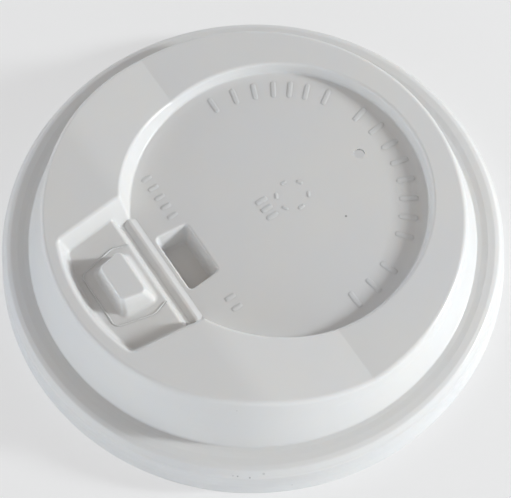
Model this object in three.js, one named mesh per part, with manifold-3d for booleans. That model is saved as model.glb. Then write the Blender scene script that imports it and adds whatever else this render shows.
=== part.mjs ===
// Takeaway coffee cup lid, formed from one thin sheet of white polystyrene.
// All sizes are in millimetres. Z is the lid's axis, the drinking side is at -Y and the vent at +Y.
import * as THREE from 'three';
import { mergeVertices } from 'three/addons/utils/BufferGeometryUtils.js';
import Module from 'manifold-3d';

// Sheet and clearances
const SHEET = 0.45;
const DIE_CUT = 0.3;

// Skirt, with its edge band and the waist above it
const SKIRT_RADIUS = 46.5;
const SKIRT_EDGE_Z = 0.5;
const WAIST_RADIUS = 45.75;
const WAIST_Z = 3.2;
const SHOULDER_RADIUS = 45.5;
const SHOULDER_Z = 6.6;
const SHOULDER_STEP = 0.3;

// Channel that takes the cup's rim, and the valley between it and the dome
const CHANNEL_RADIUS = 43.4;
const CHANNEL_FLAT = 0.55;
const CHANNEL_TOP_Z = 8.05;
const VALLEY_RADIUS = 41.15;
const VALLEY_Z = 6.3;

// Dome wall, and the top ring: flat at the back, then a ramp, then flat again round the pocket
const DOME_BASE_RADIUS = 40.45;
const DOME_BASE_Z = 7.2;
const BACK_Z = 15.65;
const BACK_RADIUS = 37.95;
const FRONT_Z = 19.2;
const RAMP_START_Y = 0;
const RAMP_END_Y = -18.7;
const RAMP_BEND = 2;
const RIM_ROUND = 1.3;
const RIM_BAND = 2.4;
const RIM_STEP = 0.12;
const RIM_STEP_RISE = 0.3;

// Round table sunk into the top, nearer to the vent side
const TABLE_Z = 13.27;
const TABLE_RADIUS = 26.85;
const TABLE_CENTRE_Y = 5.85;
const TABLE_DRAFT = 0.2;
const TABLE_FILLET = 0.45;

// Drinking pocket, open towards the table
const POCKET_Z = 15.85;
const POCKET_INNER_Y = -16.6;
const POCKET_HALF_INNER = 12.8;
const POCKET_HALF_OUTER = 11.1;
const POCKET_REACH = 33.0;
const POCKET_DRAFT = 0.38;
const POCKET_CORNER = 2;
const POCKET_SPANS = 8;

// Folding groove between the pocket and the table
const GROOVE_START_Y = -21.4;
const GROOVE_FLOOR_Y = -20.3;
const GROOVE_FLOOR_HALF = 0.35;
const GROOVE_FLOOR_Z = 13.45;
const CREST_Y = -18.95;
const CREST_HALF = 0.2;
const CREST_Z = 13.9;
const CREST_FOOT_Y = -18.0;
const FLOOR_MARGIN = 0.6;

// Tab cut out of the pocket floor
const TAB_OUTER_Y = -31.6;
const TAB_HALF_OUTER = 5.85;
const TAB_HALF_WAIST = 7.5;
const TAB_WAIST_Y = -24.4;
const TAB_HALF_HINGE = 6.4;
const TAB_CORNER = 1.5;

// Stud raised on the tab
const STUD_TOP_Z = 19.8;
const STUD_FOOT_INNER_Y = -22.8;
const STUD_FOOT_OUTER_Y = -29.1;
const STUD_FOOT_HALF_INNER = 5.25;
const STUD_FOOT_HALF_OUTER = 4.85;
const STUD_TOP_INNER_Y = -24.2;
const STUD_TOP_OUTER_Y = -28.3;
const STUD_TOP_HALF_INNER = 4.6;
const STUD_TOP_HALF_OUTER = 3.5;
const STUD_EDGE = 0.6;
const STUD_CORNER = 1.1;

// Axis on which the tab folds back, and the socket that then holds the stud
const FOLD_Y = -19.75;
const FOLD_Z = 15.15;
const SOCKET_CLEARANCE = 0.3;
const SOCKET_NEAR_Y = 2 * FOLD_Y - studInnerY(2 * FOLD_Z - TABLE_Z) - SOCKET_CLEARANCE;
const SOCKET_FAR_Y = FOLD_Y + studReach(FOLD_Z - TABLE_Z) + SOCKET_CLEARANCE;
const SOCKET_HALF_NEAR = 5.95;
const SOCKET_HALF_FAR = 5.4;
const SOCKET_DRAFT_SIDES = 1.0;
const SOCKET_DRAFT_FAR = 0.9;
const SOCKET_DRAFT_NEAR = 0.4;
const SOCKET_FLOOR_Z = 8.6;
const SOCKET_CORNER = 1.1;

// Vent hole
const VENT_RADIUS = 1.0;
const VENT_Y = 23.3;

const ROUND_STEPS = 72;
const ARC_STEPS = 4;
const LIFT_PASSES = 6;
const LEVEL_TOLERANCE = 1e-6;
const OVERSHOOT = 3;

const wasm = await Module();
wasm.setup();

// How far along Y the stud's sloping inner side lies at a given height
function studInnerY(z) {
  const t = (z - POCKET_Z) / (STUD_TOP_Z - POCKET_Z);
  return STUD_FOOT_INNER_Y + t * (STUD_TOP_INNER_Y - STUD_FOOT_INNER_Y);
}

// Reach of the stud's outer top edge past the fold axis when it has swung a given depth below it
function studReach(depth) {
  const share = STUD_EDGE / (STUD_TOP_Z - POCKET_Z);
  const browY = STUD_TOP_OUTER_Y + share * (STUD_FOOT_OUTER_Y - STUD_TOP_OUTER_Y);
  const browRadius = Math.hypot(browY - FOLD_Y, STUD_TOP_Z - STUD_EDGE - FOLD_Z);
  const topRadius = Math.hypot(STUD_TOP_OUTER_Y + STUD_EDGE / 2 - FOLD_Y, STUD_TOP_Z - FOLD_Z);
  const radius = Math.max(browRadius, topRadius);
  return Math.sqrt(radius * radius - depth * depth);
}

// Height of the top ring: a sharp crease where the ramp starts, a soft bend where it ends
function topAt(y) {
  const slope = (FRONT_Z - BACK_Z) / (RAMP_START_Y - RAMP_END_Y);
  const along = RAMP_START_Y - y;
  const full = RAMP_START_Y - RAMP_END_Y;
  const into = THREE.MathUtils.clamp(along - full + RAMP_BEND, 0, 2 * RAMP_BEND);
  const climbed = THREE.MathUtils.clamp(along, 0, full + RAMP_BEND) - (into * into) / (4 * RAMP_BEND);
  return BACK_Z + slope * climbed;
}

// Turns a merged closed geometry into a solid
function solid(geometry) {
  const bare = geometry.clone();
  bare.deleteAttribute('normal');
  bare.deleteAttribute('uv');
  const merged = mergeVertices(bare, 1e-4);
  const vertProperties = new Float32Array(merged.attributes.position.array);
  const triVerts = new Uint32Array(merged.index.array);
  return new wasm.Manifold(new wasm.Mesh({ numProp: 3, vertProperties, triVerts }));
}

// Turns a solid back into a drawable geometry
function geometryOf(body) {
  const mesh = body.getMesh();
  const geometry = new THREE.BufferGeometry();
  geometry.setAttribute('position', new THREE.BufferAttribute(new Float32Array(mesh.vertProperties), 3));
  geometry.setIndex(new THREE.BufferAttribute(new Uint32Array(mesh.triVerts), 1));
  geometry.computeVertexNormals();
  return geometry;
}

// Closed solid through a stack of rings with equal point counts, each counter-clockwise from above
function loft(rings) {
  const count = rings[0].length;
  const positions = rings.flat().flatMap((p) => [p.x, p.y, p.z]);
  const index = [];
  for (let k = 0; k + 1 < rings.length; k += 1) {
    for (let i = 0; i < count; i += 1) {
      const a = k * count + i;
      const b = k * count + (i + 1) % count;
      index.push(a, b, b + count, a, b + count, a + count);
    }
  }
  const last = (rings.length - 1) * count;
  for (const [a, b, c] of cover(rings[0])) {
    index.push(a, c, b);
  }
  for (const [a, b, c] of cover(rings[rings.length - 1])) {
    index.push(last + a, last + b, last + c);
  }
  const geometry = new THREE.BufferGeometry();
  geometry.setAttribute('position', new THREE.Float32BufferAttribute(positions, 3));
  geometry.setIndex(index);
  return solid(geometry);
}

// Triangles that close a ring: straight across from side to side where it isn't level, so creases stay
function cover(ring) {
  const levelRing = ring.every((p) => Math.abs(p.z - ring[0].z) < LEVEL_TOLERANCE);
  if (levelRing) {
    return THREE.ShapeUtils.triangulateShape(ring, []);
  }
  const quarter = ring.length / 4;
  const triangles = [];
  for (let k = -quarter; k < quarter; k += 1) {
    const right = (k + ring.length) % ring.length;
    const rightNext = (k + 1 + ring.length) % ring.length;
    const left = 2 * quarter - k;
    const leftNext = left - 1;
    if (k + 1 < quarter) {
      triangles.push([right, rightNext, leftNext]);
    }
    if (k > -quarter) {
      triangles.push([right, leftNext, left]);
    }
  }
  return triangles;
}

// Outline through corner points, each [x, y, rounding radius]
function outline(corners) {
  const points = [];
  corners.forEach(([x, y, radius], i) => {
    const corner = new THREE.Vector2(x, y);
    if (!radius) {
      points.push(corner);
      return;
    }
    const before = corners[(i + corners.length - 1) % corners.length];
    const after = corners[(i + 1) % corners.length];
    const back = new THREE.Vector2(before[0] - x, before[1] - y).normalize();
    const ahead = new THREE.Vector2(after[0] - x, after[1] - y).normalize();
    const half = Math.acos(THREE.MathUtils.clamp(back.dot(ahead), -1, 1)) / 2;
    const reach = radius / Math.tan(half);
    const from = corner.clone().addScaledVector(back, reach);
    const to = corner.clone().addScaledVector(ahead, reach);
    points.push(...new THREE.QuadraticBezierCurve(from, corner, to).getPoints(ARC_STEPS));
  });
  return points;
}

// Outline moved outwards by a distance, or inwards where it is negative
function grown(points, distance) {
  const count = points.length;
  return points.map((point, i) => {
    const before = points[(i + count - 1) % count];
    const after = points[(i + 1) % count];
    const first = point.clone().sub(before).normalize();
    const second = after.clone().sub(point).normalize();
    const normal = new THREE.Vector2(first.y + second.y, -first.x - second.x);
    const scale = distance / (0.5 * normal.lengthSq());
    return point.clone().addScaledVector(normal, scale);
  });
}

// Open line moved to its left by a distance, with its two end points moved square to their own span
function beside(points, distance) {
  return points.map((point, i) => {
    const before = points[Math.max(i - 1, 0)];
    const after = points[Math.min(i + 1, points.length - 1)];
    const first = (i === 0 ? after : point).clone().sub(i === 0 ? point : before).normalize();
    const second = (i === points.length - 1 ? point : after).clone();
    second.sub(i === points.length - 1 ? before : point).normalize();
    const normal = new THREE.Vector2(-first.y - second.y, first.x + second.x);
    return point.clone().addScaledVector(normal, distance / (0.5 * normal.lengthSq()));
  });
}

// Ring of a loft: an outline at a height
function level(points, z) {
  return points.map((p) => new THREE.Vector3(p.x, p.y, z));
}

function circle(radius, centreY) {
  const points = [];
  for (let i = 0; i < ROUND_STEPS; i += 1) {
    const angle = (2 * Math.PI * i) / ROUND_STEPS;
    points.push(new THREE.Vector2(radius * Math.cos(angle), centreY + radius * Math.sin(angle)));
  }
  return points;
}

// Points of a smooth bend from one point to another, pulled towards one or two corners between them
function bend(...points) {
  const vectors = points.map(([x, y]) => new THREE.Vector2(x, y));
  const Curve = vectors.length > 3 ? THREE.CubicBezierCurve : THREE.QuadraticBezierCurve;
  return new Curve(...vectors).getPoints(ARC_STEPS);
}

// Outer profile of the lid at its back, from the skirt's edge up to the top ring
function bodyProfile() {
  const lean = wallLean();
  const bandZ = BACK_Z - RIM_BAND;
  const bandRadius = BACK_RADIUS + lean * RIM_BAND;
  const slopeRadius = (CHANNEL_RADIUS + VALLEY_RADIUS) / 2;
  const edge = [SKIRT_RADIUS, SKIRT_EDGE_Z];
  const waist = [WAIST_RADIUS, WAIST_Z];
  const shoulder = [SHOULDER_RADIUS, SHOULDER_Z];
  const crownOuter = [CHANNEL_RADIUS + CHANNEL_FLAT, CHANNEL_TOP_Z];
  const crownInner = [CHANNEL_RADIUS - CHANNEL_FLAT, CHANNEL_TOP_Z];
  const valley = [VALLEY_RADIUS, VALLEY_Z];
  const foot = [DOME_BASE_RADIUS, DOME_BASE_Z];
  const brow = [BACK_RADIUS + lean * RIM_ROUND, BACK_Z - RIM_ROUND];
  return [
    new THREE.Vector2(SKIRT_RADIUS, 0),
    ...bend(edge, [WAIST_RADIUS, (SKIRT_EDGE_Z + WAIST_Z) / 2], waist),
    new THREE.Vector2(WAIST_RADIUS, SHOULDER_Z - SHOULDER_STEP),
    ...bend(shoulder, [SHOULDER_RADIUS, CHANNEL_TOP_Z], crownOuter),
    ...bend(crownInner, [slopeRadius, CHANNEL_TOP_Z], [slopeRadius, VALLEY_Z], valley),
    ...bend(valley, [DOME_BASE_RADIUS, VALLEY_Z], foot).slice(1),
    new THREE.Vector2(bandRadius, bandZ),
    new THREE.Vector2(bandRadius - RIM_STEP, bandZ + RIM_STEP_RISE),
    ...bend(brow, [BACK_RADIUS, BACK_Z], [BACK_RADIUS - RIM_ROUND, BACK_Z]),
  ];
}

// How far the dome wall leans inwards for each millimetre of height
function wallLean() {
  return (DOME_BASE_RADIUS - BACK_RADIUS) / (BACK_Z - DOME_BASE_Z);
}

// Ring of the body for one point of the back profile, drawn up the cone of the wall to meet the top ring
function bodyRing(radius, z, inset) {
  const share = THREE.MathUtils.clamp((z + inset - DOME_BASE_Z) / (BACK_Z - DOME_BASE_Z), 0, 1);
  const ring = [];
  for (let i = 0; i < ROUND_STEPS; i += 1) {
    const angle = (2 * Math.PI * i) / ROUND_STEPS;
    let lift = 0;
    for (let pass = 0; pass < LIFT_PASSES; pass += 1) {
      const y = (radius - wallLean() * lift) * Math.sin(angle);
      lift = share * (topAt(y) - BACK_Z);
    }
    const reach = radius - wallLean() * lift;
    ring.push(new THREE.Vector3(reach * Math.cos(angle), reach * Math.sin(angle), z + lift));
  }
  return ring;
}

// The dome, channel and skirt as one filled solid
function body(inset) {
  const line = beside(bodyProfile(), inset);
  line[0].y = inset > 0 ? -OVERSHOOT : 0;
  return loft(line.map((p) => bodyRing(p.x, p.y, inset)));
}

// The space above the round table
function tableSpace(inset) {
  const above = FRONT_Z + OVERSHOOT;
  const radius = TABLE_RADIUS + inset;
  return loft([
    level(circle(radius - TABLE_FILLET, TABLE_CENTRE_Y), TABLE_Z - inset),
    level(circle(radius, TABLE_CENTRE_Y), TABLE_Z + TABLE_FILLET - inset),
    level(circle(radius + TABLE_DRAFT * (above - TABLE_Z), TABLE_CENTRE_Y), above),
  ]);
}

// Outline of the pocket's floor, grown by a distance
function pocketOutline(grow) {
  const halfInner = POCKET_HALF_INNER + grow;
  const halfOuter = POCKET_HALF_OUTER + grow;
  const reach = POCKET_REACH + grow;
  const corners = [[halfInner, POCKET_INNER_Y, 0], [-halfInner, POCKET_INNER_Y, 0]];
  const start = Math.asin(halfOuter / reach);
  for (let i = 0; i <= POCKET_SPANS; i += 1) {
    const angle = -start + (2 * start * i) / POCKET_SPANS;
    const round = i === 0 || i === POCKET_SPANS ? POCKET_CORNER : 0;
    corners.push([reach * Math.sin(angle), -reach * Math.cos(angle), round]);
  }
  return outline(corners);
}

// The space of the pocket, its walls leaning evenly from below the groove to above the top ring
function pocketSpace(inset) {
  const below = CREST_Z - SHEET * 3;
  const above = FRONT_Z + OVERSHOOT;
  return loft([
    level(pocketOutline(inset + POCKET_DRAFT * (below - POCKET_Z)), below),
    level(pocketOutline(inset + POCKET_DRAFT * (above - POCKET_Z)), above),
  ]);
}

// Floor of the pocket, the folding groove and its crest, as one profile drawn across the lid
function pocketFloor(inset) {
  const line = [
    [-POCKET_REACH - FLOOR_MARGIN, POCKET_Z],
    [GROOVE_START_Y, POCKET_Z],
    [GROOVE_FLOOR_Y - GROOVE_FLOOR_HALF, GROOVE_FLOOR_Z],
    [GROOVE_FLOOR_Y + GROOVE_FLOOR_HALF, GROOVE_FLOOR_Z],
    [CREST_Y - CREST_HALF, CREST_Z],
    [CREST_Y + CREST_HALF, CREST_Z],
    [CREST_FOOT_Y, TABLE_Z],
    [POCKET_INNER_Y + FLOOR_MARGIN, TABLE_Z],
  ];
  const face = beside(line.map(([y, z]) => new THREE.Vector2(y, z)), -inset);
  const depth = TABLE_Z - OVERSHOOT;
  const first = new THREE.Vector2(face[0].x, depth);
  const last = new THREE.Vector2(face[face.length - 1].x, depth);
  const shape = new THREE.Shape([first, last, ...face.reverse()]);
  const width = 2 * (POCKET_HALF_INNER + FLOOR_MARGIN);
  const geometry = new THREE.ExtrudeGeometry(shape, { depth: width, bevelEnabled: false, steps: 1 });
  geometry.rotateX(Math.PI / 2);
  geometry.rotateZ(Math.PI / 2);
  geometry.translate(-width / 2, 0, 0);
  return solid(geometry);
}

// Outline of the stud or the socket: half width and Y at both ends, grown by a distance
function fourSided([halfUpper, upperY, halfLower, lowerY], corner, grow) {
  const round = Math.max(corner + grow, corner / 3);
  return outline([
    [halfUpper + grow, upperY + grow, round],
    [-halfUpper - grow, upperY + grow, round],
    [-halfLower - grow, lowerY - grow, round],
    [halfLower + grow, lowerY - grow, round],
  ]);
}

// The stud that stands on the tab
function stud(inset) {
  const foot = [STUD_FOOT_HALF_INNER, STUD_FOOT_INNER_Y, STUD_FOOT_HALF_OUTER, STUD_FOOT_OUTER_Y];
  const top = [STUD_TOP_HALF_INNER, STUD_TOP_INNER_Y, STUD_TOP_HALF_OUTER, STUD_TOP_OUTER_Y];
  const share = STUD_EDGE / (STUD_TOP_Z - POCKET_Z);
  const brow = top.map((value, i) => value + share * (foot[i] - value));
  return loft([
    level(fourSided(foot, STUD_CORNER, -inset), POCKET_Z - SHEET * 2),
    level(fourSided(foot, STUD_CORNER, -inset), POCKET_Z - inset),
    level(fourSided(brow, STUD_CORNER, -inset), STUD_TOP_Z - STUD_EDGE - inset),
    level(fourSided(top, STUD_CORNER, -inset - STUD_EDGE / 2), STUD_TOP_Z - inset),
  ]);
}

// The socket sunk into the table, which takes the stud when the tab is folded back
function socket(inset) {
  const mouth = [SOCKET_HALF_FAR, SOCKET_FAR_Y, SOCKET_HALF_NEAR, SOCKET_NEAR_Y];
  const floor = [
    SOCKET_HALF_FAR - SOCKET_DRAFT_SIDES,
    SOCKET_FAR_Y - SOCKET_DRAFT_FAR,
    SOCKET_HALF_NEAR - SOCKET_DRAFT_SIDES,
    SOCKET_NEAR_Y + SOCKET_DRAFT_NEAR,
  ];
  return loft([
    level(fourSided(floor, SOCKET_CORNER, inset), SOCKET_FLOOR_Z - inset),
    level(fourSided(mouth, SOCKET_CORNER, inset), TABLE_Z - inset),
    level(fourSided(mouth, SOCKET_CORNER, inset), TABLE_Z + OVERSHOOT),
  ]);
}

// Everything below the sheet's upper face, or below its lower face where inset is the thickness
function formed(inset) {
  return body(inset)
    .subtract(tableSpace(inset))
    .subtract(pocketSpace(inset))
    .add(pocketFloor(inset))
    .add(stud(inset))
    .subtract(socket(inset));
}

// Prism that takes the tab out of the pocket floor
function tabCut(grow) {
  const points = outline([
    [TAB_HALF_HINGE, GROOVE_START_Y, 0],
    [-TAB_HALF_HINGE, GROOVE_START_Y, 0],
    [-TAB_HALF_WAIST, TAB_WAIST_Y, TAB_CORNER],
    [-TAB_HALF_OUTER, TAB_OUTER_Y, TAB_CORNER],
    [TAB_HALF_OUTER, TAB_OUTER_Y, TAB_CORNER],
    [TAB_HALF_WAIST, TAB_WAIST_Y, TAB_CORNER],
  ]);
  const edge = grown(points, grow);
  return loft([level(edge, SOCKET_FLOOR_Z), level(edge, STUD_TOP_Z + OVERSHOOT)]);
}

// Vent hole through the table
function vent() {
  const geometry = new THREE.CylinderGeometry(VENT_RADIUS, VENT_RADIUS, 4 * SHEET, 16);
  geometry.rotateX(Math.PI / 2);
  geometry.translate(0, VENT_Y, TABLE_Z);
  return solid(geometry);
}

function piece(name, shape, colour) {
  const material = new THREE.MeshStandardMaterial({ color: colour, roughness: 0.28, metalness: 0 });
  const mesh = new THREE.Mesh(geometryOf(shape), material);
  mesh.name = name;
  return mesh;
}

const sheet = formed(0).subtract(formed(SHEET)).subtract(vent());
const lid = new THREE.Group();
lid.add(piece('lid_shell', sheet.subtract(tabCut(0)), 0xd9dbdd));
lid.add(piece('drink_tab', sheet.intersect(tabCut(-DIE_CUT)), 0xd9dbdd));

export default lid;
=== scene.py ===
import math

import bmesh
import bpy
from mathutils import Matrix, Vector


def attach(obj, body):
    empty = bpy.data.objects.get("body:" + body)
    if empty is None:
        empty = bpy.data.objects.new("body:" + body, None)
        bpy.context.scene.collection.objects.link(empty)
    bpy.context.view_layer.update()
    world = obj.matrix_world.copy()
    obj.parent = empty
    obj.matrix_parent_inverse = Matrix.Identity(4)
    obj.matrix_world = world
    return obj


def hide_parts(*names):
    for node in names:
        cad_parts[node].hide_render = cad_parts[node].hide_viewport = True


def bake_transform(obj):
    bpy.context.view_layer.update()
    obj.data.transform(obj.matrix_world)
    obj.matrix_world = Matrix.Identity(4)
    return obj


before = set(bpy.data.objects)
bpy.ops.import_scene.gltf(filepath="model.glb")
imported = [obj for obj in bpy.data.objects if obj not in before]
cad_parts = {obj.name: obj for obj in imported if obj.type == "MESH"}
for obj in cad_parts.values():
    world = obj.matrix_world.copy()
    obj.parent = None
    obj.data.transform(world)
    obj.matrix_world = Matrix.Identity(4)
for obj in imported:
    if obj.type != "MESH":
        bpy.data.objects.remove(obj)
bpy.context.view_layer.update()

MM = 0.001
MERGE = 1e-4
SNAP = 0.01
SMALL = 1e-3

# Sheet
SHEET = 0.45
MITRE_LIMIT = 2.0
CUT_GAP = 0.035
ROUND_STEPS = 320
BEND_STEP = math.radians(11)
CORNER_STEPS = 8
LONGEST_BEND = 0.48

# Skirt and the channel over the cup's brim, as (radius, height, rounding)
SKIRT_LINE = [
    (46.46, 0.0, 0.0),
    (46.46, 0.5, 0.3),
    (45.95, 1.6, 1.8),
    (45.75, 3.2, 2.5),
    (45.78, 5.3, 1.5),
    (45.70, 5.85, 0.5),
    (45.38, 6.15, 0.35),
    (44.75, 7.2, 0.8),
    (43.9, 7.5, 1.0),
    (42.6, 7.5, 1.0),
    (41.5, 7.28, 0.8),
    (40.68, 7.25, 0.25),
]
DOME_BASE = (40.5, 7.45)
DOME_BASE_ROUND = 0.6

# Dome wall and the top ring: flat at the back, a ramp, then flat again round the pocket.
# The ramp is cut up to RAMP_SPLIT_Y with plain creases, and bent into its real shape afterwards.
BACK_Z = 15.65
BACK_RADIUS = 37.95
FRONT_Z = 19.2
RAMP_START_Y = 0
RAMP_END_Y = -18.7
RAMP_SPLIT_Y = -20.2
RAMP_BEND = 2.2
RAMP_BEND_ROWS = 4
CREASE_HALF = 0.15
BEND_DEPTH = 3.0
TOP_DEPTH = 0.4
RIM_ROUND = 1.0
RIM_BAND = 2.4
RIM_STEP = 0.12
RIM_STEP_RISE = 0.35
WALL_LEAN = (DOME_BASE[0] - BACK_RADIUS) / (BACK_Z - DOME_BASE[1])
LIFT_ROUNDS = 8

# Sunk round table
TABLE_Z = 13.27
TABLE_RADIUS = 26.85
TABLE_Y = 5.85
TABLE_DRAFT = 0.2
TABLE_FORM_TOP = FRONT_Z + 5
VENT_Y = 23.3
VENT_RADIUS = 1.0
VENT_STEPS = 48
VENT_TOOL_LENGTH = 2 * TABLE_Z + 4

# Drinking pocket and folding groove
POCKET_Z = 15.85
POCKET_INNER_Y = -17.3
POCKET_HALF_INNER = 12.72
POCKET_HALF_OUTER = 11.1
POCKET_REACH = 33.0
POCKET_DRAFT = 0.38
POCKET_CORNER = 2.0
POCKET_SPANS = 14
POCKET_FORM_BASE = TABLE_Z - 1
POCKET_FORM_TOP = FRONT_Z + 3
FLOOR_LINE = [(-34.2, POCKET_Z), (-21.4, POCKET_Z), (-20.6, TABLE_Z), (POCKET_INNER_Y, TABLE_Z)]
FLOOR_FORM_BASE = TABLE_Z - 3
FLOOR_FORM_WIDTH = 2 * POCKET_HALF_INNER + 1.2

# Crest between the folding groove and the table: line over it as (y, height, rounding)
CREST_LINE = [
    (-19.95, TABLE_Z, 0),
    (-18.95, 13.86, 0.5),
    (-18.45, 13.86, 0.45),
    (-17.4, TABLE_Z - 0.02, 0),
]
CREST_Y = -18.9
CREST_SINK = 0.3
CREST_HALF = 12.3
CREST_FULL = 11.1
CREST_END = 0.3

# Stud and socket, as (half width, y) at the vent side and at the drinking side
STUD_FOOT = ((5.25, -22.85), (4.95, -29.2))
STUD_TOP = ((4.7, -23.95), (3.65, -28.5))
STUD_TOP_Z = 19.8
STUD_ROOT = 1
STUD_CORNER = 1.0
STUD_MIDDLE_Y = -26
SOCKET_MOUTH = ((5.4, -10.35), (5.95, -16.6))
SOCKET_FLOOR = ((4.4, -11.25), (4.95, -16.2))
SOCKET_FLOOR_Z = 8.6
SOCKET_FORM_RISE = 2
SOCKET_CORNER = 0.8
SOCKET_MIDDLE_Y = -13.5

# Tab: its hinge end, and its other corners as (x, y, rounding)
TAB_HINGE_Y = -21.4
TAB_CORNERS = [
    (-7.5, -24.4, 2.2),
    (-5.85, -31.6, 1.5),
    (5.85, -31.6, 1.5),
    (7.5, -24.4, 2.2),
]

# The strip that bends when the tab folds
STRIP_HALF = 6.4
STRIP_LID_Y = -20.3
STRIP_TAB_Y = -21.65
STRIP_ROWS = 14

# Rings of the burr along the tab's cut, as (distance from the cut, height over the floor)
BURR_LINE = [(0.0, -0.1), (0.01, 0.04), (-0.15, 0.16), (-0.24, 0.14), (-0.42, -0.1)]
BURR_END = 0.25

# Tools for the cuts that go right through the sheet
PRISM_BASE = -1
PRISM_TOP = FRONT_Z + 4


def plain_top(y):
    """Height of the top ring while it is cut and rounded, with a plain crease at each end."""
    climbed = (RAMP_START_Y - y) / (RAMP_START_Y - RAMP_SPLIT_Y)
    return BACK_Z + (FRONT_Z - BACK_Z) * min(max(climbed, 0), 1)


def top_at(y):
    """Height of the finished top ring, with a soft bend where the ramp ends."""
    full = RAMP_START_Y - RAMP_END_Y
    along = RAMP_START_Y - y
    into = min(max(along - full + RAMP_BEND, 0), 2 * RAMP_BEND)
    climbed = min(max(along, 0), full + RAMP_BEND) - into * into / (4 * RAMP_BEND)
    return BACK_Z + (FRONT_Z - BACK_Z) / full * climbed


def rounded(corners, closed=True, bend_steps=None):
    """Points of a line through corners (x, y, rounding), each turned into a smooth bend."""
    points = []
    count = len(corners)
    for i, (x, y, radius) in enumerate(corners):
        corner = Vector((x, y))
        end = not closed and i in (0, count - 1)
        if radius == 0 or end:
            points.append(corner)
            continue
        back = Vector(corners[i - 1][:2]) - corner
        ahead = Vector(corners[(i + 1) % count][:2]) - corner
        half = back.angle(ahead) / 2
        longest = LONGEST_BEND * min(back.length, ahead.length)
        reach = min(radius / math.tan(half), longest)
        arc = reach * math.tan(half)
        inward = (back.normalized() + ahead.normalized()).normalized()
        centre = corner + inward * math.hypot(arc, reach)
        start = corner + back.normalized() * reach - centre
        turn = start.angle_signed(corner + ahead.normalized() * reach - centre)
        steps = bend_steps or max(2, math.ceil(abs(turn) / BEND_STEP))
        for k in range(steps + 1):
            angle = -turn * k / steps
            spun = Vector((
                start.x * math.cos(angle) - start.y * math.sin(angle),
                start.x * math.sin(angle) + start.y * math.cos(angle),
            ))
            points.append(centre + spun)
    return points


def new_object(name, bm):
    """Object made from a bmesh, with its doubles merged and its faces pointing out."""
    bmesh.ops.remove_doubles(bm, verts=bm.verts, dist=MERGE)
    bmesh.ops.recalc_face_normals(bm, faces=bm.faces)
    mesh = bpy.data.meshes.new(name)
    bm.to_mesh(mesh)
    bm.free()
    obj = bpy.data.objects.new(name, mesh)
    bpy.context.collection.objects.link(obj)
    return obj


def opened(obj):
    """Bmesh of an object's mesh."""
    bm = bmesh.new()
    bm.from_mesh(obj.data)
    return bm


def put_back(bm, obj):
    bm.to_mesh(obj.data)
    bm.free()


def everything(bm):
    return bm.verts[:] + bm.edges[:] + bm.faces[:]


def close_holes(bm):
    bmesh.ops.holes_fill(bm, edges=[edge for edge in bm.edges if edge.is_boundary], sides=0)


def revolve(line):
    """Bmesh of a line of (radius, height) turned about the Z axis, its two ends closed flat."""
    bm = bmesh.new()
    verts = [bm.verts.new((r, 0, z)) for r, z in line]
    edges = [bm.edges.new(pair) for pair in zip(verts, verts[1:])]
    bmesh.ops.spin(
        bm, geom=verts + edges, cent=(0, 0, 0), axis=(0, 0, 1),
        angle=math.tau, steps=ROUND_STEPS, use_merge=True,
    )
    bmesh.ops.remove_doubles(bm, verts=bm.verts, dist=MERGE)
    close_holes(bm)
    return bm


def edge_loop(bm, points):
    """The edges of a closed ring of points."""
    verts = [bm.verts.new(point) for point in points]
    return [bm.edges.new((verts[i - 1], verts[i])) for i in range(len(verts))]


def loft(rings):
    """Bmesh of a closed solid through rings of points, bridged in turn and capped at both ends."""
    bm = bmesh.new()
    loops = [edge_loop(bm, ring) for ring in rings]
    for lower, upper in zip(loops, loops[1:]):
        bmesh.ops.bridge_loops(bm, edges=lower + upper)
    bmesh.ops.contextual_create(bm, geom=loops[0])
    bmesh.ops.contextual_create(bm, geom=loops[-1])
    return bm


def quartered(bm, y):
    """Splits a form's wide flat faces along two lines that cross in what is cut out of them."""
    for point, normal in (((0, 0, 0), (1, 0, 0)), ((0, y, 0), (0, 1, 0))):
        bmesh.ops.bisect_plane(
            bm, geom=everything(bm), dist=SNAP, plane_co=point, plane_no=normal
        )
    return bm


def level(points, z):
    """Points of a plan outline at one height."""
    return [(p[0], p[1], z) for p in points]


def four_sided(ends, corner):
    """Rounded outline from (half width, y) at the vent side and at the drinking side."""
    (half_upper, upper), (half_lower, lower) = ends
    return rounded([
        (half_upper, upper, corner),
        (-half_upper, upper, corner),
        (-half_lower, lower, corner),
        (half_lower, lower, corner),
    ], bend_steps=CORNER_STEPS)


def lifted(p):
    """Moves a point of the back's round form up the cone of the wall, to the top ring over it."""
    share = min(max((p.z - DOME_BASE[1]) / (BACK_Z - DOME_BASE[1]), 0), 1)
    flat = p.xy.normalized()
    lift = 0
    for _ in range(LIFT_ROUNDS):
        lift = share * (plain_top((p.xy.length - WALL_LEAN * lift) * flat.y) - BACK_Z)
    return (flat * (p.xy.length - WALL_LEAN * lift)).to_3d() + Vector((0, 0, p.z + lift))


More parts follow.
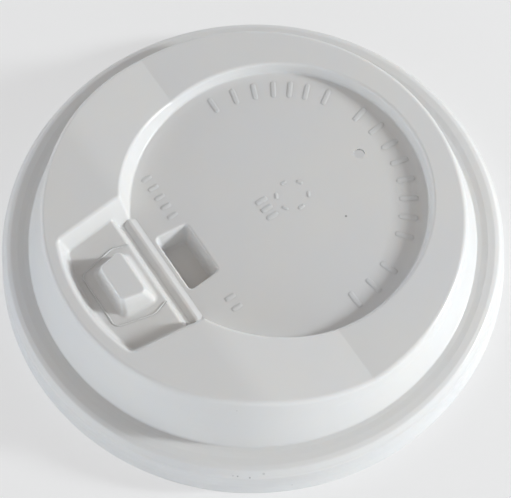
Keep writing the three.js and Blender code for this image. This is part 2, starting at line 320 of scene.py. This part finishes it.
def body_form():
    """The dome, channel and skirt as one filled solid."""
    band = (BACK_RADIUS + WALL_LEAN * RIM_BAND, BACK_Z - RIM_BAND)
    line = rounded(
        SKIRT_LINE + [
            (*DOME_BASE, DOME_BASE_ROUND),
            (*band, 0),
            (band[0] - WALL_LEAN * RIM_STEP_RISE - RIM_STEP, band[1] + RIM_STEP_RISE, 0),
            (BACK_RADIUS, BACK_Z, RIM_ROUND),
            (0, BACK_Z, 0),
        ],
        closed=False,
    )
    bm = revolve([tuple(p) for p in line[:-1]])
    for vert in bm.verts:
        vert.co = lifted(vert.co)
    brim = [vert for vert in bm.verts if vert.co.z > plain_top(vert.co.y) - SMALL]
    for y in (RAMP_START_Y, RAMP_SPLIT_Y):
        right = min((vert for vert in brim if vert.co.x > 0), key=lambda v: abs(v.co.y - y))
        mirrored = right.co * Vector((-1, 1, 1))
        left = min(brim, key=lambda v: (v.co - mirrored).length)
        bmesh.ops.connect_verts(bm, verts=[right, left])
    return new_object("body_form", quartered(bm, 0))


def table_form():
    """The space over the round table."""
    top_radius = TABLE_RADIUS + TABLE_DRAFT * (TABLE_FORM_TOP - TABLE_Z)
    bm = revolve([(TABLE_RADIUS, TABLE_Z), (top_radius, TABLE_FORM_TOP)])
    bmesh.ops.translate(bm, verts=bm.verts, vec=(0, TABLE_Y, 0))
    return new_object("table_form", quartered(bm, SOCKET_MIDDLE_Y))


def pocket_outline(z):
    """Outline of the pocket at a height, wider the higher it is."""
    grow = POCKET_DRAFT * (z - POCKET_Z)
    half_inner = POCKET_HALF_INNER + grow
    half_outer = POCKET_HALF_OUTER + grow
    reach = POCKET_REACH + grow
    start = math.asin(half_outer / reach)
    corners = [(half_inner, POCKET_INNER_Y, 0), (-half_inner, POCKET_INNER_Y, 0)]
    for i in range(POCKET_SPANS + 1):
        angle = start * (2 * i / POCKET_SPANS - 1)
        corner = POCKET_CORNER if i in (0, POCKET_SPANS) else 0
        corners.append((reach * math.sin(angle), -reach * math.cos(angle), corner))
    return level(rounded(corners, bend_steps=CORNER_STEPS), z)


def pocket_form():
    """The space over the drinking pocket, its walls leaning evenly all the way up."""
    rings = [pocket_outline(z) for z in (POCKET_FORM_BASE, POCKET_FORM_TOP)]
    return new_object("pocket_form", loft(rings))


def floor_form():
    """Pocket floor and the step down to the table as one profile pushed across the lid."""
    bm = bmesh.new()
    line = FLOOR_LINE + [(FLOOR_LINE[-1][0], FLOOR_FORM_BASE), (FLOOR_LINE[0][0], FLOOR_FORM_BASE)]
    face = bm.faces.new([bm.verts.new((-FLOOR_FORM_WIDTH / 2, y, z)) for y, z in line])
    pushed = bmesh.ops.extrude_face_region(bm, geom=[face])
    verts = [item for item in pushed["geom"] if isinstance(item, bmesh.types.BMVert)]
    bmesh.ops.translate(bm, verts=verts, vec=(FLOOR_FORM_WIDTH, 0, 0))
    return new_object("floor_form", quartered(bm, STUD_MIDDLE_Y))


def stud_form():
    """The stud on the tab, with a root that reaches into the floor."""
    foot, top = four_sided(STUD_FOOT, STUD_CORNER), four_sided(STUD_TOP, STUD_CORNER)
    return new_object("stud_form", loft([
        level(foot, POCKET_Z - STUD_ROOT),
        level(foot, POCKET_Z),
        level(top, STUD_TOP_Z),
    ]))


def socket_form():
    """The space in the socket, carried on above the table."""
    mouth = four_sided(SOCKET_MOUTH, SOCKET_CORNER)
    return new_object("socket_form", loft([
        level(four_sided(SOCKET_FLOOR, SOCKET_CORNER), SOCKET_FLOOR_Z),
        level(mouth, TABLE_Z),
        level(mouth, TABLE_Z + SOCKET_FORM_RISE),
    ]))


def baked(obj):
    """Replaces an object's mesh by the result of its modifiers."""
    depsgraph = bpy.context.evaluated_depsgraph_get()
    mesh = bpy.data.meshes.new_from_object(obj.evaluated_get(depsgraph))
    obj.modifiers.clear()
    old = obj.data
    obj.data = mesh
    bpy.data.meshes.remove(old)
    return obj


def combine(obj, tool, operation):
    """Cuts, joins or keeps the overlap of a tool, which is used up."""
    cut = obj.modifiers.new("combine", "BOOLEAN")
    cut.operation = operation
    cut.solver = "EXACT"
    cut.object = tool
    baked(obj)
    bpy.data.objects.remove(tool)
    return obj


def forming_face():
    """The sheet's upper face as a filled solid with sharp edges."""
    form = body_form()
    combine(form, table_form(), "DIFFERENCE")
    combine(form, pocket_form(), "DIFFERENCE")
    combine(form, floor_form(), "UNION")
    combine(form, stud_form(), "UNION")
    combine(form, socket_form(), "DIFFERENCE")
    return form


# Roundings of the formed edges
MOUTH_ROUND = 0.55
FLOOR_ROUND = 0.36
CORNER_ROUND = 0.4
TIGHT_ROUND = 0.12
STUD_TOP_ROUND = 0.38
STUD_FOOT_ROUND = 0.7
SOCKET_MOUTH_ROUND = 0.37
SOCKET_FLOOR_ROUND = 0.5
GROOVE_ROUNDS = [(-21.4, 0.55), (-20.6, 0.22)]
BEVEL_STEPS = 5

# Where each rounding belongs: spans of y or of the distance from the lid's middle line
SKIRT_Z = 5
MIDDLE_HALF = 6.6
SOCKET_Y = (-17.2, -9.8)
STUD_Y = (-29.6, -22.0)
DOME_RIM_RADIUS = 35.5
GROOVE_END_Y = (-21.7, -20.0)
GROOVE_END_X = (11.0, 13.2)
GROOVE_END_STEEP = (0.3, 0.97)
TABLE_CORNER_Y = (-20.0, -16.3)
TABLE_CORNER_X = (11.4, 15.2)
SEAM_STEEP = 0.3
ACROSS = 0.95

# How near to a height or a line an edge lies to count as on it
END_SLACK = 0.2
TOP_SLACK = 0.1
FLOOR_SLACK = 0.05
GROOVE_SLACK = 0.03

# Edges that are too flat or too short to be rounded
SHARP_ANGLE = math.radians(17)
SEAM_ANGLE = math.radians(4)
STRAIGHT_ANGLE = math.radians(5)
SHORT_EDGE = 0.075
SUNK_RADIUS = 34.6
SUNK_DEPTH = 5


def between(value, span):
    return span[0] < value < span[1]


def middle_of(edge):
    return (edge.verts[0].co + edge.verts[1].co) / 2


def rounding_at(edge):
    """How far an edge of the forming face is rounded off."""
    p = middle_of(edge)
    if edge.calc_face_angle(0) < SHARP_ANGLE or p.z < SKIRT_Z:
        return 0
    along = (edge.verts[0].co - edge.verts[1].co).normalized()
    if abs(p.x) < MIDDLE_HALF and between(p.y, SOCKET_Y):
        on_floor = p.z < SOCKET_FLOOR_Z + END_SLACK
        return SOCKET_FLOOR_ROUND if on_floor else SOCKET_MOUTH_ROUND
    if abs(p.x) < MIDDLE_HALF and between(p.y, STUD_Y):
        return STUD_TOP_ROUND if p.z > STUD_TOP_Z - END_SLACK else STUD_FOOT_ROUND
    if p.z > plain_top(p.y) - TOP_SLACK:
        return 0 if p.xy.length > DOME_RIM_RADIUS else MOUTH_ROUND
    if abs(along.x) > ACROSS:
        for y, radius in GROOVE_ROUNDS:
            if abs(p.y - y) < GROOVE_SLACK:
                return radius
    at_groove_end = between(p.y, GROOVE_END_Y) and between(abs(p.x), GROOVE_END_X)
    if at_groove_end and between(abs(along.z), GROOVE_END_STEEP):
        return TIGHT_ROUND
    if p.z < TABLE_Z + FLOOR_SLACK or abs(p.z - POCKET_Z) < FLOOR_SLACK:
        return FLOOR_ROUND
    return CORNER_ROUND


def crowds_corner(edge):
    """Tells the flat seams of the table wall that leave no room beside its upright corners."""
    p = middle_of(edge)
    rise = abs(edge.verts[0].co.z - edge.verts[1].co.z)
    near = between(abs(p.x), TABLE_CORNER_X) and between(p.y, TABLE_CORNER_Y) and p.z > TABLE_Z
    steep = rise > SEAM_STEEP * edge.calc_length()
    return near and steep and edge.calc_face_angle(0) < SEAM_ANGLE


def is_sunk(p):
    """Tells the points of what is sunk into the top ring."""
    return p.z > BACK_Z - SUNK_DEPTH and p.xy.length < SUNK_RADIUS


def soften(form):
    """Rounds the edges of the forming face, each by its own amount."""
    bm = opened(form)
    inner = [edge for edge in bm.edges if is_sunk(edge.verts[0].co)]
    bmesh.ops.dissolve_degenerate(bm, edges=inner, dist=SHORT_EDGE)
    seams = [edge for edge in bm.edges if crowds_corner(edge)]
    bmesh.ops.dissolve_edges(bm, edges=seams, use_verts=True)
    straight = [
        vert for vert in bm.verts
        if len(vert.link_edges) == 2 and vert.calc_edge_angle(0) < STRAIGHT_ANGLE
    ]
    bmesh.ops.dissolve_verts(bm, verts=straight)
    weight = bm.edges.layers.float.new("bevel_weight_edge")
    for edge in bm.edges:
        edge[weight] = rounding_at(edge)
    put_back(bm, form)
    bevel = form.modifiers.new("soften", "BEVEL")
    bevel.limit_method = "WEIGHT"
    bevel.width = 1
    bevel.segments = BEVEL_STEPS
    bevel.use_clamp_overlap = False
    bevel.miter_outer = "MITER_SHARP"
    return baked(form)


def bend_ramp(form):
    """Turns the plain crease at the ramp's end into a soft bend, and keeps its start crisp."""
    rows = [RAMP_START_Y - CREASE_HALF, RAMP_START_Y + CREASE_HALF]
    for k in range(-RAMP_BEND_ROWS, RAMP_BEND_ROWS + 1):
        rows.append(RAMP_END_Y + RAMP_BEND * k / RAMP_BEND_ROWS)
    bm = opened(form)
    for y in rows:
        top = [
            face for face in bm.faces
            if all(vert.co.z > plain_top(vert.co.y) - TOP_DEPTH for vert in face.verts)
        ]
        geom = top + list({part for face in top for part in (*face.verts, *face.edges)})
        bmesh.ops.bisect_plane(
            bm, geom=geom, dist=SNAP, plane_co=(0, y, 0), plane_no=(0, 1, 0)
        )
    for vert in bm.verts:
        depth = plain_top(vert.co.y) - vert.co.z
        share = min(max(1 - depth / BEND_DEPTH, 0), 1)
        vert.co.z += share * (top_at(vert.co.y) - plain_top(vert.co.y))
    put_back(bm, form)
    return form


# Faces that are not the skin: the flat base, and the upright walls left by a cut
FACES_DOWN = -0.9
BASE_Z = 0.01
UPRIGHT = 0.01


def sheet_from(form):
    """Leaves only the upper skin of a form and gives it the sheet's thickness."""
    bm = opened(form)
    base = [
        face for face in bm.faces
        if face.normal.z < FACES_DOWN and face.calc_center_median().z < BASE_Z
    ]
    walls = [
        face for face in bm.faces
        if abs(face.normal.z) < UPRIGHT
        and all(vert.co.xy.length < POCKET_REACH for vert in face.verts)
    ]
    bmesh.ops.delete(bm, geom=base + walls, context="FACES")
    put_back(bm, form)
    wall = form.modifiers.new("wall", "SOLIDIFY")
    wall.thickness = SHEET
    wall.offset = -1
    wall.use_even_offset = True
    wall.use_quality_normals = True
    baked(form)
    verts = form.data.vertices
    count = len(verts) // 2
    for outer, inner in zip(verts[:count], verts[count:]):
        offset = inner.co - outer.co
        if offset.length > MITRE_LIMIT * SHEET:
            inner.co = outer.co + offset.normalized() * SHEET
    return form


# Plain relief on the table, where the real lid has its marks: bars along an arc, and small rows
RELIEF_TOP = 0.14
RELIEF_SINK = 0.1
RELIEF_SIDE = 0.22
BAR_RINGS = [
    (-RELIEF_SINK, RELIEF_SIDE),
    (0.02, RELIEF_SIDE),
    (0.6 * RELIEF_TOP, 0.08),
    (RELIEF_TOP, -0.1),
]
BAR_WIDTH = 0.62
BAR_END_ROUND = 0.97
BAR_END_STEPS = 5
ARC_RADIUS = 23.2
ARC_BARS = [
    178.0, 167.4, 158.0, 149.2, 141.6, 134.0, 124.5,
    106.8, 96.3, 86.3, 76.8, 67.2, 57.8, 48.5, 39.3,
    22.1, 11.5, 1.0,
]
ARC_BAR_LENGTH = 3.7
ROW_X = [-16.9, -14.7, -12.5, -10.3, -8.1, 10.9, 13.1]
ROW_Y = -11.6
ROW_BAR_LENGTH = 2.3
ROW_BAR_WIDTH = 0.8 * BAR_WIDTH
MIDDLE_X = [-1.8, 0.0, 1.8]
MIDDLE_Y = 3.2
MIDDLE_BAR_LENGTH = 2.6
DOT_RING = (0.3, 8.5)
DOT_RING_RADIUS = 2.9
DOT_COUNT = 6
DOT_SIZE = 0.9
DOT_STRETCH = 0.3


def raised_bar(centre, angle, length, width):
    """Bmesh of a low bar with round ends and soft sides, standing on the table."""
    rings = []
    for height, grow in BAR_RINGS:
        long, wide = length / 2 + grow, width / 2 + grow
        end = BAR_END_ROUND * wide
        corners = [
            (long, -wide, end), (long, wide, end), (-long, wide, end), (-long, -wide, end)
        ]
        outline = rounded(corners, bend_steps=BAR_END_STEPS)
        turned = [Matrix.Rotation(angle, 2) @ p + Vector(centre) for p in outline]
        rings.append(level(turned, TABLE_Z + height))
    return loft(rings)


def round_point(centre, radius, angle):
    return (centre[0] + radius * math.cos(angle), centre[1] + radius * math.sin(angle))


def relief():
    """All the raised bars and dots of the table."""
    parts = []
    for angle in map(math.radians, ARC_BARS):
        centre = round_point((0, TABLE_Y), ARC_RADIUS, angle)
        parts.append(raised_bar(centre, angle, ARC_BAR_LENGTH - BAR_WIDTH, BAR_WIDTH))
    for x in ROW_X:
        length = ROW_BAR_LENGTH - BAR_WIDTH
        parts.append(raised_bar((x, ROW_Y), math.pi / 2, length, ROW_BAR_WIDTH))
    for x in MIDDLE_X:
        length = MIDDLE_BAR_LENGTH - BAR_WIDTH
        parts.append(raised_bar((x, MIDDLE_Y), math.pi / 2, length, BAR_WIDTH))
    for k in range(DOT_COUNT):
        angle = math.tau * k / DOT_COUNT
        centre = round_point(DOT_RING, DOT_RING_RADIUS, angle)
        parts.append(raised_bar(centre, angle, DOT_STRETCH, DOT_SIZE))
    return parts


def crest_body():
    """The low crest beyond the folding groove, its base in the sheet and its ends in the walls."""
    upper = rounded(CREST_LINE, closed=False)
    under = TABLE_Z - SHEET / 2
    line = [Vector((upper[0].x, under)), *upper, Vector((upper[-1].x, under))]
    ends = [(-CREST_HALF, CREST_END), (-CREST_FULL, 1), (CREST_FULL, 1), (CREST_HALF, CREST_END)]
    rings = []
    for x, size in ends:
        rings.append([(
            x,
            CREST_Y + size * (p.x - CREST_Y),
            TABLE_Z - CREST_SINK + size * (p.y - TABLE_Z + CREST_SINK),
        ) for p in line])
    return loft(rings)


def joined(name, bmeshes):
    """One object from several bmeshes."""
    whole = bmesh.new()
    for bm in bmeshes:
        part = bpy.data.meshes.new("part")
        bmesh.ops.recalc_face_normals(bm, faces=bm.faces)
        bm.to_mesh(part)
        bm.free()
        whole.from_mesh(part)
        bpy.data.meshes.remove(part)
    return new_object(name, whole)


def duplicate(obj, name):
    twin = obj.copy()
    twin.data = obj.data.copy()
    twin.name = name
    bpy.context.collection.objects.link(twin)
    return twin


def grown(points, distance):
    """Outline moved outwards by a distance, or inwards where it is negative."""
    moved = []
    for before, point, after in zip([points[-1], *points[:-1]], points, [*points[1:], points[0]]):
        first, second = (point - before).normalized(), (after - point).normalized()
        normal = Vector((first.y + second.y, -first.x - second.x))
        moved.append(point + normal * distance / (0.5 * normal.length_squared))
    return moved


def prism(name, outline):
    """Upright tool from an outline."""
    points = [tuple(p) for p in outline]
    return new_object(name, loft([level(points, PRISM_BASE), level(points, PRISM_TOP)]))


def tab_outline(end_y, grow):
    """Outline of the tab, its hinge end at a given place."""
    corners = [(STRIP_HALF, end_y, 0), (-STRIP_HALF, end_y, 0)]
    if end_y < TAB_HINGE_Y:
        corners += TAB_CORNERS
    else:
        corners += [(-STRIP_HALF, TAB_HINGE_Y, 0), *TAB_CORNERS, (STRIP_HALF, TAB_HINGE_Y, 0)]
    line = grown(rounded(corners), grow)
    for point in line:
        if point.y > end_y - abs(grow) - MERGE:
            point.y = end_y
    return line


def burr():
    """Fine raised line that the die leaves along the tab's cut, open at its hinge end."""
    bm = bmesh.new()
    loops = []
    for grow, height in BURR_LINE:
        outline = tab_outline(STRIP_TAB_Y, grow - CUT_GAP / 2)
        loops.append(edge_loop(bm, level(outline, POCKET_Z + height)))
    for lower, upper in zip(loops, [*loops[1:], loops[0]]):
        bmesh.ops.bridge_loops(bm, edges=lower + upper)
    bmesh.ops.bisect_plane(
        bm, geom=everything(bm), plane_co=(0, STRIP_TAB_Y - BURR_END, 0), plane_no=(0, 1, 0),
        clear_outer=True,
    )
    close_holes(bm)
    return bm


def vent_tool():
    """Round tool for the vent hole in the table."""
    bm = bmesh.new()
    bmesh.ops.create_cone(
        bm, cap_ends=True, segments=VENT_STEPS, radius1=VENT_RADIUS, radius2=VENT_RADIUS,
        depth=VENT_TOOL_LENGTH, matrix=Matrix.Translation((0, VENT_Y, TABLE_Z)),
    )
    return new_object("vent_tool", bm)


SHARP_SHADING = math.radians(32)


def finished(obj, material, body):
    """Real size, smooth shading over crisp cut edges, material, and the body it moves with."""
    mesh = obj.data
    mesh.transform(Matrix.Scale(MM, 4))
    mesh.polygons.foreach_set("use_smooth", [True] * len(mesh.polygons))
    mesh.set_sharp_from_angle(angle=SHARP_SHADING)
    even = obj.modifiers.new("even_normals", "WEIGHTED_NORMAL")
    even.keep_sharp = True
    baked(obj)
    obj.data.materials.clear()
    obj.data.materials.append(material)
    if body:
        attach(obj, body)
    return obj


def map_range(tree, value, span, to_span):
    """Output of a node that maps one span of numbers to another."""
    node = tree.nodes.new("ShaderNodeMapRange")
    names = ("From Min", "From Max", "To Min", "To Max")
    for name, number in zip(names, (*span, *to_span)):
        node.inputs[name].default_value = number
    tree.links.new(value, node.inputs["Value"])
    return node.outputs["Result"]


def maths(tree, operation, *terms):
    """Output of a math node, whose terms are plain numbers or the outputs of other nodes."""
    node = tree.nodes.new("ShaderNodeMath")
    node.operation = operation
    for socket, term in zip(node.inputs, terms):
        if isinstance(term, (int, float)):
            socket.default_value = term
        else:
            tree.links.new(term, socket)
    return node.outputs["Value"]


def mixed(tree, first, second, factor, clamp=True):
    """Output of a node that mixes two plain colours."""
    node = tree.nodes.new("ShaderNodeMix")
    node.data_type = "RGBA"
    node.clamp_factor = clamp
    node.inputs["A"].default_value = (*first, 1)
    node.inputs["B"].default_value = (*second, 1)
    tree.links.new(factor, node.inputs["Factor"])
    return node.outputs["Result"]


# Look of the plastic; noises as (scale, detail), bumps as (noise, strength, distance)
PLASTIC = (0.80, 0.805, 0.81)
PLASTIC_WARM = (0.82, 0.815, 0.80)
TINT_NOISE = (55, 3)
TINT_SPAN = (0.35, 0.65)
GLOSS_NOISE = (90, 2)
GLOSS_SPAN = (0.3, 0.7)
ROUGHNESS = (0.285, 0.33)
IOR = 1.5
SCATTER_SHARE = 0.2
SCATTER_RADIUS = (1.0, 0.75, 0.6)
SCATTER_SCALE = 0.0012
FINE_GRAIN = ((1500, 3), 0.04, 0.00004)
WAVES = ((70, 2), 0.06, 0.0004)

# Specks as (radius, angle, height, size, share of the colour left); the last is painted shade: a
# darker patch standing in for the shading of a small dent in the skirt
SPECKS_AND_DENT_SHADE = [
    (16.76, 57.2, 13.27, 0.42, 0.45),
    (44.9, -80.3, 8.0, 0.35, 0.6),
    (46.1, -24.7, 1.6, 0.3, 0.6),
    (44.85, -35.1, 7.6, 0.3, 0.7),
    (45.45, -37.3, 6.3, 0.35, 0.6),
    (45.4, -36.3, 6.2, 0.3, 0.6),
    (45.5, -33.7, 6.0, 0.35, 0.65),
    (37.5, -36.8, 17.0, 0.25, 0.75),
    (31.6, -9.5, 16.8, 0.22, 0.7),
    # painted shade: the dent in the skirt drawn as a darker patch of colour
    (45.3, -30.7, 6.8, 0.7, 0.72),
]
SPOT_EDGE = (0.35, 0.6)


def plastic_material():
    """Glossy white polystyrene: slightly uneven in tint, gloss and flatness, with a few specks and
    one patch of painted shade for a dent in the skirt.
    """
    material = bpy.data.materials.new("white_polystyrene")
    material.use_nodes = True
    tree = material.node_tree
    nodes, links = tree.nodes, tree.links
    shader = nodes["Principled BSDF"]
    coords = nodes.new("ShaderNodeTexCoord").outputs["Object"]

    def noise(scale, detail):
        node = nodes.new("ShaderNodeTexNoise")
        node.inputs["Scale"].default_value = scale
        node.inputs["Detail"].default_value = detail
        links.new(coords, node.inputs["Vector"])
        return node.outputs["Fac"]

    def bump(shape, strength, distance):
        node = nodes.new("ShaderNodeBump")
        node.inputs["Strength"].default_value = strength
        node.inputs["Distance"].default_value = distance
        links.new(noise(*shape), node.inputs["Height"])
        return node

    def dark_spot(radius, angle, height, size, left):
        apart = nodes.new("ShaderNodeVectorMath")
        apart.operation = "DISTANCE"
        x, y = round_point((0, 0), radius * MM, math.radians(angle))
        apart.inputs[1].default_value = (x, y, height * MM)
        links.new(coords, apart.inputs[0])
        edge = [share * size * MM for share in SPOT_EDGE]
        return map_range(tree, apart.outputs["Value"], edge, (left, 1))

    tint_share = map_range(tree, noise(*TINT_NOISE), TINT_SPAN, (0, 1))
    # Darkening by the specks, and painted shade where the skirt has its dent
    shade = dark_spot(*SPECKS_AND_DENT_SHADE[0])
    for values in SPECKS_AND_DENT_SHADE[1:]:
        shade = maths(tree, "MULTIPLY", shade, dark_spot(*values))
    specks_and_dent_shade_mix = nodes.new("ShaderNodeMix")
    specks_and_dent_shade_mix.data_type = "RGBA"
    specks_and_dent_shade_mix.blend_type = "MULTIPLY"
    specks_and_dent_shade_mix.inputs["Factor"].default_value = 1
    links.new(mixed(tree, PLASTIC, PLASTIC_WARM, tint_share), specks_and_dent_shade_mix.inputs["A"])
    links.new(shade, specks_and_dent_shade_mix.inputs["B"])
    links.new(specks_and_dent_shade_mix.outputs["Result"], shader.inputs["Base Color"])

    rough = map_range(tree, noise(*GLOSS_NOISE), GLOSS_SPAN, ROUGHNESS)
    links.new(rough, shader.inputs["Roughness"])
    shader.inputs["IOR"].default_value = IOR
    shader.inputs["Subsurface Weight"].default_value = SCATTER_SHARE
    shader.inputs["Subsurface Radius"].default_value = SCATTER_RADIUS
    shader.inputs["Subsurface Scale"].default_value = SCATTER_SCALE

    fine, wavy = bump(*FINE_GRAIN), bump(*WAVES)
    links.new(fine.outputs["Normal"], wavy.inputs["Normal"])
    links.new(wavy.outputs["Normal"], shader.inputs["Normal"])
    return material


# The lid's pieces, all cut from one rounded form
plastic = plastic_material()
form = bend_ramp(soften(forming_face()))
combine(form, vent_tool(), "DIFFERENCE")
tab_tool = prism("tab_tool", tab_outline(STRIP_TAB_Y, -CUT_GAP / 2))
tab = combine(duplicate(form, "tab_form"), tab_tool, "INTERSECT")
strip_corners = [
    (STRIP_HALF, STRIP_LID_Y),
    (-STRIP_HALF, STRIP_LID_Y),
    (-STRIP_HALF, STRIP_TAB_Y),
    (STRIP_HALF, STRIP_TAB_Y),
]
strip = combine(duplicate(form, "fold_strip"), prism("strip_tool", strip_corners), "INTERSECT")
combine(form, prism("opening_tool", tab_outline(STRIP_LID_Y, CUT_GAP / 2)), "DIFFERENCE")
for skin in (form, tab, strip):
    sheet_from(skin)

shell = joined("lid_shell_skin", [opened(form), crest_body(), *relief()])
bpy.data.objects.remove(form)

strip_mesh = opened(strip)
for k in range(1, STRIP_ROWS):
    row_y = STRIP_LID_Y + (STRIP_TAB_Y - STRIP_LID_Y) * k / STRIP_ROWS
    bmesh.ops.bisect_plane(
        strip_mesh, geom=everything(strip_mesh), dist=MERGE,
        plane_co=(0, row_y, 0), plane_no=(0, 1, 0),
    )
put_back(strip_mesh, strip)

tab_mesh = opened(tab)
bpy.data.objects.remove(tab)
tab = joined("drink_tab_skin", [tab_mesh, burr()])

finished(shell, plastic, "lid")
finished(tab, plastic, "tab")
finished(strip, plastic, None)
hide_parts("lid_shell")
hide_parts("drink_tab")
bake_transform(strip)


# Stage: a pale card floor, in metres
FLOOR_COLOUR = (0.86, 0.865, 0.87)
FLOOR_GRAIN_COLOUR = tuple(0.985 * c for c in FLOOR_COLOUR)
FLOOR_GRAIN_SCALE = 900
FLOOR_ROUGHNESS = 0.75
FLOOR_SEEN = (0.93, 0.935, 0.94)
FLOOR_SEEN_SHARE = 0.55
FLOOR_SIZE = 3.0
FLOOR_DROP = 0.00002


def floor_material():
    """Pale card with a faint grain, lifted for the camera so that the ground stays near white."""
    material = bpy.data.materials.new("pale_card")
    material.use_nodes = True
    tree = material.node_tree
    nodes, links = tree.nodes, tree.links
    shader = nodes["Principled BSDF"]
    shader.inputs["Roughness"].default_value = FLOOR_ROUGHNESS
    grain = nodes.new("ShaderNodeTexNoise")
    grain.inputs["Scale"].default_value = FLOOR_GRAIN_SCALE
    links.new(nodes.new("ShaderNodeTexCoord").outputs["Object"], grain.inputs["Vector"])
    tone = mixed(tree, FLOOR_COLOUR, FLOOR_GRAIN_COLOUR, grain.outputs["Fac"])
    links.new(tone, shader.inputs["Base Color"])
    glow = nodes.new("ShaderNodeEmission")
    glow.inputs["Color"].default_value = (*FLOOR_SEEN, 1)
    camera_ray = nodes.new("ShaderNodeLightPath").outputs["Is Camera Ray"]
    mix = nodes.new("ShaderNodeMixShader")
    links.new(maths(tree, "MULTIPLY", camera_ray, FLOOR_SEEN_SHARE), mix.inputs["Fac"])
    links.new(shader.outputs["BSDF"], mix.inputs[1])
    links.new(glow.outputs["Emission"], mix.inputs[2])
    links.new(mix.outputs["Shader"], nodes["Material Output"].inputs["Surface"])
    return material


floor_mesh = bmesh.new()
bmesh.ops.create_grid(floor_mesh, x_segments=2, y_segments=2, size=FLOOR_SIZE / 2)
floor = new_object("floor", floor_mesh)
floor.location.z = -FLOOR_DROP
floor.data.materials.append(floor_material())

# Light
LAMP_AIM = (0, 0, 0.012)


def lamp(name, azimuth, elevation, distance, width, height, power, colour):
    """Soft lamp aimed at the lid, its azimuth counted from +X towards +Y."""
    data = bpy.data.lights.new(name, "AREA")
    data.shape = "RECTANGLE"
    data.size = width
    data.size_y = height
    data.energy = power
    data.color = colour
    obj = bpy.data.objects.new(name, data)
    bpy.context.collection.objects.link(obj)
    turn, rise = math.radians(azimuth), math.radians(elevation)
    direction = Vector((
        math.cos(turn) * math.cos(rise),
        math.sin(turn) * math.cos(rise),
        math.sin(rise),
    ))
    obj.location = direction * distance + Vector(LAMP_AIM)
    obj.rotation_euler = direction.to_track_quat("Z", "Y").to_euler()


lamp(
    "key", azimuth=55, elevation=22, distance=0.7, width=0.058, height=0.146,
    power=3.6, colour=(0.96, 0.99, 1.0),
)

# Room light: pale and strong near the horizon, most of all on one side, and weak overhead
ZENITH = (0.215, 0.183, 0.16)
HORIZON = (1.62, 1.72, 1.82)
STRONG_SIDE = (-0.22, -0.66, 0)
FALL_POWER = 2


def room_light():
    """World whose light falls off with height and leans towards the strong side."""
    world = bpy.data.worlds.new("room")
    world.use_nodes = True
    tree = world.node_tree
    nodes, links = tree.nodes, tree.links
    direction = nodes.new("ShaderNodeTexCoord").outputs["Generated"]
    apart = nodes.new("ShaderNodeSeparateXYZ")
    links.new(direction, apart.inputs[0])
    low = map_range(tree, apart.outputs["Z"], (0, 1), (1, 0))
    share = maths(tree, "POWER", low, FALL_POWER)
    lean = nodes.new("ShaderNodeVectorMath")
    lean.operation = "DOT_PRODUCT"
    lean.inputs[1].default_value = STRONG_SIDE
    links.new(direction, lean.inputs[0])
    uneven = maths(tree, "MULTIPLY_ADD", lean.outputs["Value"], share, share)
    colour = mixed(tree, ZENITH, HORIZON, uneven, clamp=False)
    links.new(colour, nodes["Background"].inputs["Color"])
    bpy.context.scene.world = world


room_light()

# Camera, as the photo was taken: distance and turns about a point over the lid's base
CAMERA_DISTANCE = 268.17
CAMERA_AIM_Z = 10.0
CAMERA_ELEVATION = math.radians(64.154)
CAMERA_ROLL = math.radians(-1.947)
CAMERA_TURN = math.radians(58.609)
FOCAL_PX = 1490.0
IMAGE_SIZE = (511, 498)
CENTRE_SHIFT_PX = (3.455, -23.746)
SENSOR_WIDTH = 36
CLIP_START = 0.01

lens = bpy.data.cameras.new("camera")
lens.sensor_width = SENSOR_WIDTH
lens.lens = SENSOR_WIDTH * FOCAL_PX / IMAGE_SIZE[0]
lens.shift_x = CENTRE_SHIFT_PX[0] / IMAGE_SIZE[0]
lens.shift_y = CENTRE_SHIFT_PX[1] / IMAGE_SIZE[0]
lens.clip_start = CLIP_START
camera = bpy.data.objects.new("camera", lens)
bpy.context.collection.objects.link(camera)
aim = Matrix.Translation((0, 0, CAMERA_AIM_Z * MM))
turn = Matrix.Rotation(CAMERA_TURN, 4, "Z")
tilt = Matrix.Rotation(math.pi / 2 - CAMERA_ELEVATION, 4, "X")
step_back = Matrix.Translation((0, 0, CAMERA_DISTANCE * MM))
roll = Matrix.Rotation(CAMERA_ROLL, 4, "Z")
camera.matrix_world = aim @ turn @ tilt @ step_back @ roll
bpy.context.scene.camera = camera

bpy.context.scene.view_settings.view_transform = "Standard"
